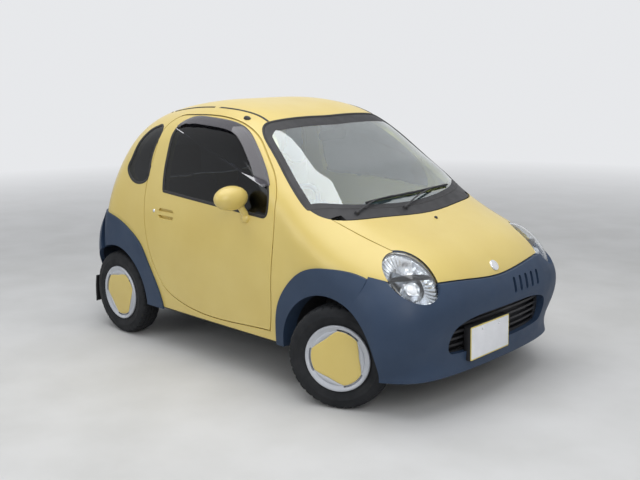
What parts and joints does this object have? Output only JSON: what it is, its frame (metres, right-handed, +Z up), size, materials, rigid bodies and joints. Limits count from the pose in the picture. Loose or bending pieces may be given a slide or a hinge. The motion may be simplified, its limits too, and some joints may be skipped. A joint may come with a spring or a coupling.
{
  "type": "kei car",
  "caption": "Small two-seat city car with side doors, bonnet and glass rear hatch that open, steered front wheels and a rounded body",
  "frame": {"origin": "on the ground under the middle of the car's overall length and width", "axes": "+X forward, +Y to the car's left, +Z up; the front wheels are parked turned to the left"},
  "size_m": [2.7411, 1.792, 1.4495],
  "materials": {
    "body_paint": "satin pale yellow paint",
    "bumper_plastic": "satin blue-grey moulding",
    "black_trim": "fine-grained black",
    "glass_clear": "clear, faint green",
    "glass_dark": "dark tinted",
    "lamp_clear": "clear polished lens",
    "lamp_red": "glossy red lens",
    "reflector": "bright reflector",
    "cabin_plastic": "grained dark grey",
    "cabin_rubber": "smooth dark rim",
    "seat_cloth": "dark woven cloth",
    "underbody": "satin black underseal",
    "cast_parts": "rough casting",
    "exhaust_steel": "dull steel",
    "tyre_rubber": "matte black rubber",
    "wheel_silver": "satin silver-grey"
  },
  "bodies": {
    "chassis": {"floor_pan": "underbody", "bulkhead": "underbody", "body_side_right": "body_paint", "body_side_left": "body_paint", "roof_panel": "body_paint", "rear_panel": "body_paint", "windshield": "glass_clear", "cowl_panel": "black_trim", "quarter_glass": "glass_dark", "front_bumper": "bumper_plastic", "rear_bumper": "bumper_plastic", "arch_trims": "bumper_plastic", "headlamp_bowls": "reflector", "headlamp_lenses": "lamp_clear", "tail_lamps": "lamp_red", "front_wing_right": "body_paint", "front_wing_left": "body_paint", "dashboard": "cabin_plastic", "seats": "seat_cloth", "engine": "cast_parts", "lower_grille": "black_trim", "front_suspension": "underbody", "rear_axle": "underbody", "exhaust": "exhaust_steel", "fuel_tank": "cabin_plastic", "wheel_liners": "black_trim"},
    "door_right": {"door_right": "body_paint", "door_glass_right": "glass_dark", "mirror_right": "black_trim"},
    "door_left": {"door_left": "body_paint", "door_glass_left": "glass_dark", "mirror_left": "black_trim"},
    "bonnet": {"bonnet": "body_paint"},
    "hatch": {"rear_hatch": "glass_dark"},
    "steering_wheel": {"steering_wheel": "cabin_rubber"},
    "knuckle_right": {"knuckle_right": "cast_parts"},
    "knuckle_left": {"knuckle_left": "cast_parts"},
    "wheel_front_right": {"tyre_front_right": "tyre_rubber", "rim_front_right": "wheel_silver"},
    "wheel_front_left": {"tyre_front_left": "tyre_rubber", "rim_front_left": "wheel_silver"},
    "wheel_rear_right": {"tyre_rear_right": "tyre_rubber", "rim_rear_right": "wheel_silver"},
    "wheel_rear_left": {"tyre_rear_left": "tyre_rubber", "rim_rear_left": "wheel_silver"}
  },
  "joints": [
    {"name": "door_right_hinge", "type": "hinge", "parent": "chassis", "child": "door_right", "pos_m": [0.415, -0.702, 0.5875], "axis": [0, 0, 1], "range_deg": [0, 65]},
    {"name": "door_left_hinge", "type": "hinge", "parent": "chassis", "child": "door_left", "pos_m": [0.415, 0.702, 0.5875], "axis": [0, 0, -1], "range_deg": [0, 65]},
    {"name": "bonnet_hinge", "type": "hinge", "parent": "chassis", "child": "bonnet", "pos_m": [0.755, 0, 0.883], "axis": [0, -1, 0], "range_deg": [0, 48]},
    {"name": "hatch_hinge", "type": "hinge", "parent": "chassis", "child": "hatch", "pos_m": [-0.871, 0, 1.357], "axis": [0, 1, 0], "range_deg": [0, 75]},
    {"name": "steering_column", "type": "hinge", "parent": "chassis", "child": "steering_wheel", "pos_m": [0.215, -0.33, 0.838], "axis": [-0.8988, 0, 0.4384], "range_deg": [-944, 176]},
    {"name": "steer_right", "type": "hinge", "parent": "chassis", "child": "knuckle_right", "pos_m": [0.8375, -0.585, 0.26], "axis": [0, 0, 1], "range_deg": [-59, 11]},
    {"name": "steer_left", "type": "hinge", "parent": "chassis", "child": "knuckle_left", "pos_m": [0.8375, 0.585, 0.26], "axis": [0, 0, 1], "range_deg": [-59, 11]},
    {"name": "spin_front_right", "type": "hinge", "parent": "knuckle_right", "child": "wheel_front_right", "pos_m": [0.8375, -0.585, 0.26], "axis": [-0.4067, 0.9135, 0], "continuous": true},
    {"name": "spin_front_left", "type": "hinge", "parent": "knuckle_left", "child": "wheel_front_left", "pos_m": [0.8375, 0.585, 0.26], "axis": [-0.4067, 0.9135, 0], "continuous": true},
    {"name": "spin_rear_right", "type": "hinge", "parent": "chassis", "child": "wheel_rear_right", "pos_m": [-0.9625, -0.645, 0.26], "axis": [0, 1, 0], "continuous": true},
    {"name": "spin_rear_left", "type": "hinge", "parent": "chassis", "child": "wheel_rear_left", "pos_m": [-0.9625, 0.645, 0.26], "axis": [0, 1, 0], "continuous": true}
  ],
  "couplings": [
    {"joint": "steer_left", "follows": "steer_right", "ratio": 1},
    {"joint": "steering_column", "follows": "steer_right", "ratio": 16}
  ]
}
